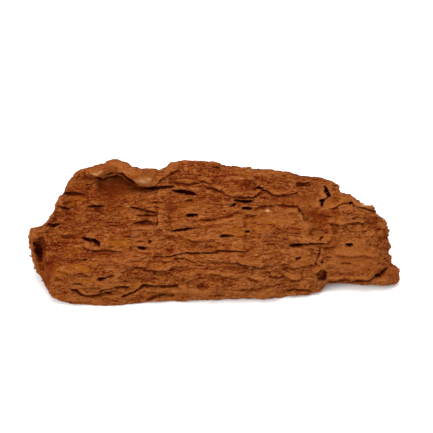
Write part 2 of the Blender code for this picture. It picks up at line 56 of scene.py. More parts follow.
# The trunk, as in the part's source: columns and rows in squares, heights and depths in metres
trunk = {
    "topEdge": [
        (29, 231), (36, 231), (44, 226), (49, 218), (52, 209), (58, 199), (62, 192), (68, 180),
        (75, 171.5), (84, 168.5), (100, 168.5), (107, 165), (113, 161), (119, 162), (127, 168),
        (139, 171), (152, 171.5), (160, 172), (167, 169.5), (170, 163.5), (175, 161.8), (195, 162),
        (215, 163.5), (225, 168.5), (245, 169.5), (266, 172), (286, 173), (299, 178), (322, 177.5),
        (335, 181.5), (340, 192), (352, 194.5), (363, 202.5), (375, 205), (378.5, 217), (385, 223.5),
        (388, 230), (391, 238),
    ],
    "footEdge": [
        (29, 254), (33, 262), (38, 271), (42.5, 281), (47, 290), (52, 298), (57, 301.5), (74, 304),
        (123, 304), (150, 302), (170, 300), (218, 299), (265, 299), (285, 296), (304, 294), (321, 290),
        (328, 281), (345, 278), (360, 278), (374, 276), (384, 270), (389, 262), (391, 250),
    ],
    "footLift": [
        (29, 0.014), (40, 0.008), (57, 0.002), (74, 0.0), (150, 0.0), (180, 0.0015), (265, 0.0015),
        (300, 0.0005), (321, 0.002), (329, 0.008), (360, 0.01), (383, 0.013), (391, 0.019),
    ],
    "crestHeight": [
        (29, 0.044), (50, 0.055), (80, 0.067), (120, 0.071), (250, 0.072), (330, 0.064), (375, 0.053),
        (391, 0.043),
    ],
    "backReach": [(29, 0.01), (80, 0.014), (160, 0.018), (260, 0.017), (340, 0.014), (391, 0.01)],
    "backCorners": [(0.96, 0.84), (1.0, 0.5), (0.97, 0.15), (0.88, 0.0)],
    "faceBulge": [(29, 0.001), (90, 0.003), (200, 0.004), (330, 0.004), (391, 0.002)],
    "backSpread": (-40, -20, 0, 20, 40), "leastBack": 0.008, "browSetback": 0.007, "browShare": 0.43,
    "faceShares": (0.3, 0.7),       # where the bulge sits between brow and crest
    "footCurl": 0.1, "footGap": 0.0003, "heelLift": 0.6,
    "undersideShares": (0.5, 0.12), "arch": 0.0035,
    "sectionPoints": 72, "stationStep": 3.0,
}
# Limbs: column, row, z, half height in squares, half depth in metres
limbs = {
    "lip": [
        (80, 172.5, 0.0655, 3.6, 0.006), (90, 172.5, 0.068, 5.0, 0.008), (98, 171.8, 0.07, 6.0, 0.009),
        (103, 170.3, 0.0715, 5.8, 0.009), (107, 168.3, 0.073, 6.0, 0.009),
        (112, 165.8, 0.0745, 7.2, 0.009), (118, 165.2, 0.075, 7.0, 0.009),
        (123, 167.5, 0.0745, 6.5, 0.009), (128, 171, 0.0735, 7.2, 0.009), (134, 175.5, 0.072, 8.8, 0.009),
        (141, 178, 0.07, 10.3, 0.01), (149, 178.5, 0.068, 10.3, 0.009), (157, 178.5, 0.066, 9.5, 0.008),
        (166, 176, 0.064, 7.5, 0.007), (174, 174, 0.062, 6.0, 0.006),
    ],
    "flange": [
        (39, 231, 0.037, 5.0, 0.007), (33.5, 230.5, 0.037, 4.8, 0.006), (33, 241, 0.033, 3.2, 0.006),
        (34, 251, 0.026, 3.6, 0.006), (37.5, 262, 0.019, 4.2, 0.006), (45, 276, 0.011, 5.0, 0.006),
    ],
    "toe": [
        (316, 278, 0.007, 5.5, 0.008), (335, 277.5, 0.007, 5.3, 0.01), (350, 277.3, 0.007, 5.0, 0.011),
        (365, 276.5, 0.007, 6.3, 0.011), (377, 275.3, 0.008, 8.2, 0.01),
        (386, 273.6, 0.008, 10.3, 0.01), (391, 273.2, 0.0078, 10.3, 0.01),
        (396, 273.2, 0.0076, 8.6, 0.008), (399, 273.6, 0.0074, 5.6, 0.005),
    ],
}
limbDrawing = {"steps": 6, "blur": (1, 2, 3, 2, 1), "points": 20}

# Forms of the face: slots and hollows are column, row, half length, half height, tilt, depth; where it is
# calm, the last number is how much of the weather the wood escaped
faceForms = {
    "slots": [
        (72, 193.5, 10, 1.9, 0, 0.0055), (53, 225, 6.5, 1.7, 12, 0.005), (96, 206.2, 8, 1.5, 0, 0.0055),
        (160, 187.4, 13, 1.7, 3, 0.007), (185, 192, 12, 2.1, -8, 0.01), (192.5, 215, 6, 1.8, 2, 0.01),
        (183.5, 229.4, 11, 1.5, 9, 0.007), (89.5, 239.6, 7.5, 2.3, -10, 0.008),
        (96.8, 242.6, 4.6, 2.4, -32, 0.01), (101.5, 276.6, 4, 1.9, 3, 0.009),
        (110, 274.8, 5, 1.1, 9, 0.003), (141.5, 247.8, 4.5, 1.5, 0, 0.006),
        (150.2, 241.2, 2, 1.3, 0, 0.004), (84.5, 259.4, 3, 1.3, 8, 0.003), (244, 201, 9, 1.7, -2, 0.01),
        (246.5, 208.6, 5.5, 1.6, 0, 0.01), (233.4, 206, 3.4, 1.2, 33, 0.006),
        (259.5, 186, 4.2, 1.3, 0, 0.006), (227.5, 235, 6.5, 1.9, 7, 0.008),
        (248, 231, 2.2, 1.6, 0, 0.006), (298.2, 257.5, 2.3, 1.4, 0, 0.006),
        (297, 245, 6.5, 1.7, 3, 0.007), (311, 243, 11, 1.1, 5, 0.005),
        (321.0, 236.6, 2.4, 1.1, 32, 0.004), (350, 244.2, 3.4, 1.7, 0, 0.01),
        (327.0, 190.8, 1.8, 2.2, 30, 0.009), (330, 195.2, 2.6, 1.3, -30, 0.008),
        (322.2, 200.6, 2.0, 2.0, 20, 0.008), (322.4, 205.2, 1.2, 1.8, 0, 0.005),
        (350.3, 201.6, 2.4, 1.9, -20, 0.007), (321.5, 274.8, 4.9, 5.8, 0, 0.006),
        (379.5, 273, 5.5, 2.2, 35, 0.003), (238, 263.6, 5, 1.0, -20, 0.003),
        (217, 167.3, 3.5, 1.3, -20, 0.003), (180, 257.9, 4.8, 1.1, 0, 0.004),
    ],
    "cracks": [
        (1.0, 0.004, [(154, 256.6), (173, 255.5), (184, 253.5), (193, 254.1), (204, 253.1), (216, 252.3),
                      (222, 250.2), (234, 250.9), (243, 251.0), (250, 249.4)]),
        (1.2, 0.005, [(71, 290.7), (76, 292), (81, 294.5), (88, 295.9), (98, 295.3), (111, 292.7)]),
        (1.2, 0.005, [(98, 292.6), (106, 288.8), (114, 287), (122, 287.2), (129, 287.7)]),
        (1.1, 0.005, [(122, 296), (133, 292.6), (139.5, 288.6), (144, 286.4), (153, 287), (165, 286),
                      (178, 285.3)]),
        (1.0, 0.003, [(146, 298.7), (160, 295.3), (174, 294.7)]),
        (1.2, 0.005, [(131, 207.6), (143, 210.8), (156, 213.2)]),
        (1.1, 0.004, [(137, 215.8), (147.5, 216.4), (157, 217.4)]),
        (1.0, 0.003, [(286, 290), (293, 288.3), (311, 288.6)]),
        (1.4, 0.004, [(327, 280.6), (345, 281.4), (361, 281.2), (371, 279.4), (376, 275.5), (381, 271.8),
                      (387, 268.5)]),
    ],
    "ledges": [
        (-0.01, -9, [(98, 177.2), (103.4, 176.4), (106.6, 173.5), (110.5, 172.2), (120.7, 172.9),
                       (125, 174.8), (130, 179.1), (135.5, 183.8), (140.1, 186.5), (144.2, 187.5),
                       (157, 187.4)]),
        (0.003, 22, [(205, 184.5), (216, 187), (225, 191.8), (232, 195), (245, 195.3), (254, 195.8),
                      (258, 193), (262, 187.5), (267, 188.5), (273, 192.5), (277, 193.8), (289, 192.5),
                      (297, 190.5)]),
        (0.0026, 12, [(157, 183.5), (160, 179.2), (166, 175.8), (169, 172.2), (178, 168.2)]),
        (0.004, -26, [(256, 210), (262, 207.4), (280, 206.8), (297, 207.6), (301.5, 212.6), (304, 219.3),
                       (309, 222)]),
        (0.0028, 12, [(289, 241), (296, 241.3), (310, 240.6), (324, 241.3), (331, 238.6)]),
        (0.0027, 9, [(143, 267.2), (157, 269.6), (164, 269.2), (172, 267.3)]),
        (0.003, 9, [(231, 261.5), (237, 260.4), (244, 263.7), (254, 263.6), (262, 266)]),
        (0.0026, 8, [(209, 273.4), (218, 272.6), (228, 275.8), (238, 275.4)]),
        (0.0025, 7, [(247, 276), (254.6, 278.4), (263, 278)]),
        (0.0028, 8, [(271, 274.4), (277.5, 275.6), (284, 274.2), (292, 278.4), (300, 279)]),
        (0.0027, -18, [(200, 221.6), (216, 221), (228, 217.2), (234, 214.4), (243, 213.8)]),
        (0.0025, 8, [(297, 181), (308, 181.9)]),
        (0.0026, 7, [(189, 238.6), (197, 240), (203, 238.8)]),
        (0.0023, -8, [(131, 226.5), (156.5, 226)]),
        (0.0026, 8, [(94, 176.8), (103, 176.2)]),
        (0.0019, 6, [(236, 286.4), (247, 287.3), (261, 287.6)]),
        (0.0019, 6, [(208, 289.5), (223, 288.9)]),
        (0.0022, 9, [(84, 246.5), (96, 249), (110, 248), (121, 250.5)]),
        (0.0022, 8, [(125, 264), (134, 266), (146, 264.5)]),
        (0.002, 8, [(60, 270), (70, 272.5), (83, 271), (92, 273)]),
        (0.0022, -9, [(60, 197), (74, 196.4), (85, 197.5)]),
        (0.0022, 9, [(330, 222), (343, 223.4), (356, 221), (366, 223)]),
        (0.001, 9, [(336, 254), (350, 256), (364, 254.5), (376, 257)]),
        (0.0022, 10, [(176, 181.5), (188, 182.6), (200, 180.2), (212, 181)]),
        (0.003, 9, [(331, 206.5), (338, 204.6), (344, 201), (351, 200), (356, 204), (366, 207),
                     (377, 209)]),
    ],
    "hollows": [
        (120, 188, 30, 11, 8, 0.0036), (40.8, 248, 5.4, 15, 0, 0.0055), (98, 209.6, 6.5, 3.6, 0, 0.0048),
        (144, 222.8, 12, 3.2, 0, 0.0044), (151, 215, 10, 3.6, 0, 0.0024), (318, 218, 14, 9, -20, 0.0016),
        (303, 184.8, 9, 4.5, 0, 0.0018), (243, 204.5, 12, 5, 0, 0.002), (120, 290.5, 20, 4, 8, 0.0018),
        (203, 285, 9, 4, 0, 0.002), (334, 198, 9, 9, 0, 0.0014), (380, 273.5, 8.5, 5, 32, 0.0036),
    ],
    "calm": [
        (120, 186, 32, 14, 8, 0.8), (143, 180, 16, 8, 0, 0.75), (110, 167, 20, 8, 0, 0.7),
        (70, 186, 17, 9, -50, 0.7), (46, 280, 9, 26, -25, 0.8), (324, 218, 22, 10, -12, 0.5),
        (292, 200, 34, 6, 3, 0.5), (354, 258, 27, 18, 0, 0.75), (276, 217, 22, 7, 0, 0.4),
        (393, 273, 14, 8, 0, 0.6),
    ],
}
backForms = {
    "slots": [
        (-0.096, 0.043, 0.01, 0.0017, 4, 0.008), (-0.052, 0.054, 0.007, 0.0016, -6, 0.007),
        (-0.03, 0.032, 0.009, 0.0018, 0, 0.009), (0.018, 0.049, 0.008, 0.0015, 8, 0.007),
        (0.047, 0.036, 0.006, 0.0017, -4, 0.008), (0.078, 0.05, 0.01, 0.0018, 3, 0.009),
        (0.108, 0.034, 0.005, 0.0016, 0, 0.006), (-0.11, 0.027, 0.006, 0.0015, -8, 0.006),
        (0.004, 0.02, 0.011, 0.0016, 3, 0.006), (0.066, 0.02, 0.008, 0.0016, -3, 0.006),
    ],
    "hollows": [
        (-0.07, 0.04, 0.04, 0.009, 6, 0.0045), (0.05, 0.044, 0.034, 0.008, -5, 0.004),
        (0.000, 0.058, 0.03, 0.006, 3, 0.003), (0.104, 0.042, 0.018, 0.01, 0, 0.003),
    ],
}
# Forms too fine for the solid: pits, small slots and the jagged cracks that cross the grain
fineForms = {
    "slots": [
        (189.7, 199.9, 3.5, 1.0, 0, 0.002), (157.6, 202.6, 4.5, 0.9, 0, 0.0022),
        (157.6, 207.2, 4.0, 0.8, 0, 0.0018), (89.4, 184.3, 3.0, 0.9, 0, 0.0018),
        (101.5, 213, 3.0, 0.9, 0, 0.0018), (329.5, 215.9, 3.0, 0.9, 0, 0.0018),
        (219.7, 165, 2.5, 1.0, 0, 0.002), (154.2, 271.2, 2.2, 1.4, 0, 0.0026),
        (66.5, 207.5, 4.0, 1.1, -10, 0.0026), (76.5, 283.5, 3.5, 1.0, 6, 0.002),
        (148, 219.2, 5.0, 0.9, 0, 0.0018), (323.4, 262.2, 1.5, 1.2, 0, 0.0024),
        (378, 230, 3.0, 1.4, 0, 0.0028), (354, 217.5, 2.4, 1.0, 0, 0.0018),
        (208, 246.2, 4.0, 0.8, 0, 0.0016), (271, 243.5, 5.0, 0.8, 4, 0.0018),
        (132, 236.5, 5.5, 0.8, -3, 0.0018), (113, 225.5, 5.0, 0.8, 2, 0.0016),
        (284, 263.5, 4.5, 0.8, 0, 0.0016), (346, 263, 5.0, 0.8, 0, 0.0018),
        (200, 265.5, 4.0, 0.8, 3, 0.0016),
    ],
    "cracks": [
        (0.8, 0.0018, [(276, 226), (282, 230.4), (299, 231)]),
        (0.8, 0.0016, [(245.2, 218.6), (259.9, 216.3)]),
        (0.8, 0.0016, [(358.3, 209.2), (367, 213.2)]),
        (0.8, 0.0018, [(184.3, 257.8), (191, 261.2), (196.4, 262.5)]),
        (0.8, 0.0016, [(138.8, 259.5), (146.2, 256.1)]),
        (0.7, 0.0014, [(205, 203), (222, 204.5), (236, 203)]),
        (0.7, 0.0014, [(258, 253), (276, 252), (292, 254)]),
        (0.7, 0.0014, [(334, 232), (352, 231), (370, 233)]),
        (0.7, 0.0014, [(86, 222), (104, 221), (121, 222.5)]),
        (0.7, 0.0014, [(160, 239), (176, 238), (190, 239.5)]),
    ],
    "acrossCracks": [
        (1.3, 0.0055, [(186, 326.4), (190, 327.6), (193, 330), (196, 331), (198, 327), (199.4, 322.6),
                       (202, 321.8), (206.5, 322.4)]),
        (0.9, 0.003, [(180.5, 339.5), (184, 337), (187.5, 334.5), (190, 333.5)]),
        (0.8, 0.0026, [(248.1, 320.1), (255.5, 319.4), (260.1, 316.1), (266, 317.5)]),
        (0.9, 0.0026, [(209, 155.8), (213, 157.4), (217, 156.2), (222, 157.5), (226, 156)]),
    ],
}

# How softly forms run out: shares of an oval, squares above a ledge, squares at a path's ends
rims = {
    "hollow": (0, 0.9), "slot": (-0.45, 0.35), "back": (0, 0.8), "calm": (0, 0.6), "patch": (0, 0.8),
    "ledge": (-0.5, 0.7), "ledgeEnds": 3, "crackEnds": 2, "acrossEnds": 1.5,
}

# What weather and decay did all over: height and cell in metres, and for flakes how many steps a level has
weather = {
    "broadWaves": (0.0015, (0.06, 0.024, 0.024)),
    "thickFlakes": (0.0022, (0.052, 0.01, 0.01), 3),
    "thinFlakes": (0.0009, (0.015, 0.0042, 0.0042), 2),
    "crumbs": (0.0024, (0.014, 0.01, 0.01), 3),
    "crumbling": [(34, 0.35), (62, 0.0), (322, 0.0), (372, 1.0)],
    "snappedBundles": (0.0017, (0.06, 0.011, 0.009), 2),
    "snappedFibres": (0.0004, (0.04, 0.0036, 0.003)),
    "leftSnap": 0.35,
    "raggedColumns": (1.6, (0.009, 0.005, 0.005)),
    "raggedRows": (0.9, (0.007, 0.004, 0.004)),
    "overhang": 0.45, "deepestHang": 0.003,
    "hangFrom": (0.004, 0.016),     # heights between which it sets in
    "undercut": 0.45, "groovePlace": 1.3, "grooveWidth": 1.1, "sink": 0.0009,
    "frontFacing": (0.05, 0.45), "backFacing": (0.0, 0.5), "endFacing": (0.3, 0.85),
    "finerShare": 0.45, "finerCell": 0.4, "stepEdge": (0.42, 0.58),
    "flakeLayers": ("thickFlakes", "thinFlakes", "fineFlakes"),
    "layerShares": (0.45, 0.35, 0.35), "layerKinds": 97, "layerStride": 11,
    # finer than the solid has
    "grooves": (0.00055, (0.03, 0.003, 0.003)),
    "fineFlakes": (0.0006, (0.009, 0.0025, 0.0025), 2),
    "grit": (0.00022, (0.004, 0.0018, 0.0018)),
}

# Every noise has a seed of its own, and the flakes' finer noise the one after it
seeds = {
    "layers": 5, "raggedColumns": 11, "raggedRows": 12, "backColumns": 13, "backRows": 14,
    "toneColumns": 15, "toneRows": 16, "fineToneColumns": 17, "fineToneRows": 18, "broadWaves": 21,
    "thickFlakes": 31, "thinFlakes": 41, "crumbs": 51, "snappedBundles": 61, "snappedFibres": 71,
    "fineFlakes": 81, "grooves": 91, "grit": 95,
}
noiseGain = 1.6     # brings the noise to about -1 to 1

meshing = {
    "voxel": 0.0007,
    "smoothing": 23, "smoothingShare": 0.5,
    "triangles": 192000,
}


def noise(points, cell, seed):
    rng = np.random.default_rng(seed)
    order = rng.permutation(256)
    slopes = rng.normal(size=(256, 3))
    slopes /= np.linalg.norm(slopes, axis=1)[:, None]
    places = points / np.array(cell)
    corner = np.floor(places).astype(int)
    inside = places - corner
    fade = inside**3 * (inside * (inside * 6 - 15) + 10)
    total = np.zeros(len(points))
    for shift in itertools.product((0, 1), repeat=3):
        at = corner + shift
        which = order[(order[(order[at[:, 0] & 255] + at[:, 1]) & 255] + at[:, 2]) & 255]
        value = ((inside - shift) * slopes[which]).sum(axis=1)
        total += value * np.prod(np.where(shift, fade, 1 - fade), axis=1)
    return total * noiseGain


def smoothstep(low, high, value):
    share = np.clip((value - low) / (high - low), 0, 1)
    return share * share * (3 - 2 * share)


def seen(points):       # columns and rows at which the front view shows points
    offset = points - view["aim"]
    scale = view["eyeDistance"] / (view["eyeDistance"] - offset @ toEye) / view["square"]
    return view["middle"] + offset[:, 0] * scale, view["middle"] - offset @ upSeen * scale


def placed(column, row, z):     # the point at height z that the front view shows there
    across = (column - view["middle"]) * view["square"] / view["eyeDistance"]
    up = (view["middle"] - row) * view["square"] / view["eyeDistance"]
    eye = view["aim"] + view["eyeDistance"] * toEye
    sight = np.array([across, 0, 0]) + up * upSeen - toEye
    return eye + sight * (z - eye[2]) / sight[2]


def along(pairs, column):
    return float(np.interp(column, *zip(*pairs)))


def smoothLoop(corners, count):
    corners = np.array(corners)
    places = np.arange(count) * len(corners) / count
    first = np.floor(places).astype(int)
    t = (places - first)[:, None]
    a, b, c, d = (corners[(first + shift) % len(corners)] for shift in (-1, 0, 1, 2))
    return 0.5 * (2 * b + (c - a) * t + (2 * a - 5 * b + 4 * c - d) * t**2 + (3 * b - a - 3 * c + d) * t**3)


def section(column):
    foot = placed(column, along(trunk["footEdge"], column), along(trunk["footLift"], column))
    crest = placed(column, along(trunk["topEdge"], column), along(trunk["crestHeight"], column))
    rise = crest[2] - foot[2]
    brow = foot + (0, trunk["browSetback"], trunk["browShare"] * rise)
    outward = toEye * along(trunk["faceBulge"], column)
    near = [placed(c, along(trunk["topEdge"], c), along(trunk["crestHeight"], c))[1]
            for c in column + np.array(trunk["backSpread"])]
    reach = along(trunk["backReach"], column)
    depth = max(sum(near) / len(near) + reach, crest[1] + trunk["leastBack"]) - foot[1]
    heelZ = trunk["heelLift"] * foot[2]
    height = crest[2] - heelZ
    x = (foot[0] + crest[0]) / 2
    front = [
        foot,
        foot + (0, trunk["footCurl"] * trunk["browSetback"], (brow[2] - foot[2]) / 2),
        brow,
        *[brow + (crest - brow) * share + outward for share in trunk["faceShares"]],
        crest,
    ]
    back = [(x, foot[1] + far * depth, heelZ + high * height) for far, high in trunk["backCorners"]]
    back[0] = (x, min(back[0][1], crest[1] + reach), back[0][2])
    behind, before = trunk["undersideShares"]
    underside = [
        (x, foot[1] + behind * depth, (heelZ + foot[2]) / 2 + trunk["arch"]),
        (x, foot[1] + before * depth, foot[2] + trunk["footGap"]),
    ]
    return smoothLoop(front + back + underside, trunk["sectionPoints"])


def skin(mesh, rings):      # walls between rings, closed with a fan at each end
    rows = [[mesh.verts.new(point) for point in ring] for ring in rings]
    for row, following in zip(rows, rows[1:]):
        for here, beside in zip(range(len(row)), [*range(1, len(row)), 0]):
            mesh.faces.new((row[here], following[here], following[beside], row[beside]))
    for row, turned in ((rows[0], False), (rows[-1], True)):
        tip = mesh.verts.new(sum((v.co for v in row[1:]), row[0].co.copy()) / len(row))
        for here, beside in zip(row, row[1:] + row[:1]):
            mesh.faces.new((here, tip, beside) if turned else (beside, tip, here))


def limbRings(path):
    path = np.array(path, float)
    steps = np.linspace(0, len(path) - 1, limbDrawing["steps"] * len(path))
    fine = np.array([[np.interp(s, range(len(path)), path[:, k]) for k in range(5)] for s in steps])
    kernel = np.array(limbDrawing["blur"]) / sum(limbDrawing["blur"])
    reach = len(kernel) // 2
    padded = np.pad(fine, ((reach, reach), (0, 0)), mode="edge")
    fine = np.array([kernel @ padded[i:i + len(kernel)] for i in range(len(fine))])
    heading = np.gradient(fine[:, :2], axis=0)
    heading /= np.linalg.norm(heading, axis=1)[:, None]
    rings = []
    for (column, row, z, halfHeight, halfDepth), (run, fall) in zip(fine, heading):
        aside = (np.array([fall, 0, 0]) + run * upSeen) * halfHeight * view["square"]
        middle = placed(column, row, z)
        angles = np.linspace(0, 2 * math.pi, limbDrawing["points"], endpoint=False)
        rings.append([middle + aside * math.cos(a) + toEye * halfDepth * math.sin(a) for a in angles])
    return rings


def roughLumps():
    mesh = bmesh.new()
    edge = trunk["topEdge"]
    columns = np.arange(edge[0][0], edge[-1][0] + 0.1, trunk["stationStep"])
    skin(mesh, [section(column) for column in columns])
    for path in limbs.values():
        skin(mesh, limbRings(path))
    bmesh.ops.recalc_face_normals(mesh, faces=mesh.faces)
    data = bpy.data.meshes.new("lumps")
    mesh.to_mesh(data)
    mesh.free()
    return data


def placeObject(name, data):
    thing = bpy.data.objects.new(name, data)
    bpy.context.scene.collection.objects.link(thing)
    return thing


def baked(holder):      # its mesh with the modifiers applied; the holder goes
    graph = bpy.context.evaluated_depsgraph_get()
    made = bpy.data.meshes.new_from_object(holder.evaluated_get(graph), depsgraph=graph)
    bpy.data.objects.remove(holder)
    return made


def withModifiers(data, *settings):
    holder = placeObject("holder", data)
    for kind, values in settings:
        modifier = holder.modifiers.new(kind.lower(), kind)
        for name, value in values.items():
            setattr(modifier, name, value)
    return baked(holder)


def smoothPiece(name, data):
    data.polygons.foreach_set("use_smooth", np.ones(len(data.polygons), bool))
    print(name + ":", len(data.polygons), "triangles")
    return placeObject(name, data)


def readVectors(collection, name):
    flat = np.empty(len(collection) * 3, np.float32)
    collection.foreach_get(name, flat)
    return flat.reshape(-1, 3).astype(float)


def storeNumbers(data, name, values):
    attribute = data.attributes.new(name, "FLOAT", "POINT")
    attribute.data.foreach_set("value", values.astype(np.float32))


def ovalShare(across, down, form):      # 1 at an oval's middle, 0 on its rim
    column, row, halfLength, halfHeight, tilt = form[:5]
    turn = math.radians(tilt)
    run = (across - column) * math.cos(turn) - (down - row) * math.sin(turn)
    drop = (across - column) * math.sin(turn) + (down - row) * math.cos(turn)
    return 1 - (run / halfLength) ** 2 - (drop / halfHeight) ** 2


def edgeDistance(columns, rows, path, taper):
    xs, ys = zip(*path)
    share = smoothstep(-taper, taper, columns - xs[0]) * smoothstep(-taper, taper, xs[-1] - columns)
    return np.interp(columns, xs, ys) - rows, share


def raggedSeen(points):
    columns, rows = seen(points)
    wild = 1 - calmness(points)
    (farAcross, cellAcross), (farDown, cellDown) = weather["raggedColumns"], weather["raggedRows"]
    columns = columns + wild * farAcross * noise(points, cellAcross, seeds["raggedColumns"])
    rows = rows + wild * farDown * noise(points, cellDown, seeds["raggedRows"])
    return columns, rows


def faceHeight(points):
    columns, rows = raggedSeen(points)
    height = np.zeros(len(points))
    for form in faceForms["hollows"]:
        height -= form[5] * smoothstep(*rims["hollow"], ovalShare(columns, rows, form))
    for proud, reach, path in faceForms["ledges"]:
        above, share = edgeDistance(columns, rows, path, rims["ledgeEnds"])
        above = above if reach > 0 else -above
        edge = smoothstep(*rims["ledge"], above)
        height += proud * share * edge * np.exp(-np.maximum(above, 0) / abs(reach))
        groove = np.exp(-((above + weather["groovePlace"]) / weather["grooveWidth"]) ** 2)
        height -= weather["undercut"] * max(proud, 0) * share * groove
    for width, depth, path in faceForms["cracks"] + fineForms["cracks"]:
        above, share = edgeDistance(columns, rows, path, rims["crackEnds"])
        height -= depth * share * np.exp(-(above / width) ** 2)
    for width, depth, path in fineForms["acrossCracks"]:
        beside, share = edgeDistance(rows, columns, path, rims["acrossEnds"])
        height -= depth * share * np.exp(-(beside / width) ** 2)
    for form in faceForms["slots"] + fineForms["slots"]:
        height -= form[5] * smoothstep(*rims["slot"], ovalShare(columns, rows, form))
    return height


def calmness(points):
    columns, rows = seen(points)
    return np.max([form[5] * smoothstep(*rims["calm"], ovalShare(columns, rows, form))
                   for form in faceForms["calm"]], axis=0)


def backHeight(points):
    (farAcross, cellAcross), (farDown, cellDown) = weather["raggedColumns"], weather["raggedRows"]
    x = points[:, 0] + view["square"] * farAcross * noise(points, cellAcross, seeds["backColumns"])
    z = points[:, 2] + view["square"] * farDown * noise(points, cellDown, seeds["backRows"])
    height = np.zeros(len(points))
    for form in backForms["hollows"] + backForms["slots"]:
        height -= form[5] * smoothstep(*rims["back"], ovalShare(x, z, form))
    return height


def levels(points, cell, seed, steps):
    finer = noise(points, np.array(cell) * weather["finerCell"], seed + 1)
    return (noise(points, cell, seed) + weather["finerShare"] * finer) * steps


def flaked(points, cell, seed, steps):
    level = levels(points, cell, seed, steps)
    lower = np.floor(level)
    return (lower + smoothstep(*weather["stepEdge"], level - lower)) / steps


def grainHeight(points):
    crumbling = np.interp(seen(points)[0], *zip(*weather["crumbling"]))
    size, cell = weather["broadWaves"]
    height = size * noise(points, cell, seeds["broadWaves"])
    for name in weather["flakeLayers"]:
        size, cell, steps = weather[name]
        height += size * flaked(points, cell, seeds[name], steps)
    size, cell, steps = weather["crumbs"]
    height += crumbling * size * flaked(points, cell, seeds["crumbs"], steps)
    size, cell = weather["grooves"]
    height -= size * (1 - np.abs(noise(points, cell, seeds["grooves"]))) ** 3
    size, cell = weather["grit"]
    height += size * noise(points, cell, seeds["grit"])
    return height


def layerNumbers(points):       # every flaked layer has a shade and a hue of its own, from -1 to 1
    chances = np.random.default_rng(seeds["layers"]).uniform(-1, 1, (2, weather["layerKinds"]))
    which, numbers = np.zeros(len(points), int), np.zeros((2, len(points)))
    for name, weight in zip(weather["flakeLayers"], weather["layerShares"]):
        size, cell, steps = weather[name]
        layer = np.floor(levels(points, cell, seeds[name], steps) + 0.5).astype(int)
        which = weather["layerStride"] * which + layer
        numbers += weight * chances[:, which % weather["layerKinds"]]
    return numbers


def splintered(points):
    size, cell, steps = weather["snappedBundles"]
    fineSize, fineCell = weather["snappedFibres"]
    bundled = size * flaked(points, cell, seeds["snappedBundles"], steps)
    return bundled + fineSize * noise(points, fineCell, seeds["snappedFibres"])


def weathered(data):
    points, outward = readVectors(data.vertices, "co"), readVectors(data.vertex_normals, "vector")
    front = smoothstep(*weather["frontFacing"], outward @ toEye)
    behind = smoothstep(*weather["backFacing"], outward[:, 1])
    placedByHand = front * faceHeight(points)
    shown = np.maximum(front, smoothstep(*weather["endFacing"], np.abs(outward[:, 0])))
    allOver = grainHeight(points) * (1 - shown * calmness(points)) + behind * backHeight(points)
    moved = points + outward * allOver[:, None] + toEye * placedByHand[:, None]
    ending = smoothstep(*weather["endFacing"], outward[:, 0])
    ending -= weather["leftSnap"] * smoothstep(*weather["endFacing"], -outward[:, 0])
    moved[:, 0] += ending * (1 - calmness(points)) * splintered(points)
    raised = np.maximum(allOver + placedByHand, -weather["deepestHang"])
    hanging = weather["overhang"] * front * raised * smoothstep(*weather["hangFrom"], points[:, 2])
    moved -= upSeen * hanging[:, None]
    for name, numbers in zip(("layerShade", "layerHue"), layerNumbers(points)):
        storeNumbers(data, name, numbers)
    data.vertices.foreach_set("co", moved.astype(np.float32).ravel())
    data.update()
    return data


def withoutScraps(mesh):
    left, bodies = set(mesh.verts), []
    while left:
        body, fresh = set(), [left.pop()]
        while fresh:
            vertex = fresh.pop()
            body.add(vertex)
            near = {edge.other_vert(vertex) for edge in vertex.link_edges} & left
            left -= near
            fresh.extend(near)
        bodies.append(body)
    scraps = [vertex for body in sorted(bodies, key=len)[:-1] for vertex in body]
    bmesh.ops.delete(mesh, geom=scraps, context="VERTS")


def cutFlat(data):
    mesh = bmesh.new()
    mesh.from_mesh(data)
    bmesh.ops.translate(mesh, verts=mesh.verts, vec=(0, 0, -weather["sink"]))
    bmesh.ops.bisect_plane(mesh, geom=[*mesh.verts, *mesh.edges, *mesh.faces], dist=1e-6,
                           plane_co=(0, 0, 0), plane_no=(0, 0, -1), clear_outer=True)
    rim = [edge for edge in mesh.edges if edge.is_boundary]
    bmesh.ops.triangle_fill(mesh, edges=rim, use_beauty=True)
    bmesh.ops.triangulate(mesh, faces=mesh.faces)
    withoutScraps(mesh)
    bmesh.ops.recalc_face_normals(mesh, faces=mesh.faces)
    mesh.to_mesh(data)
    mesh.free()
    return data


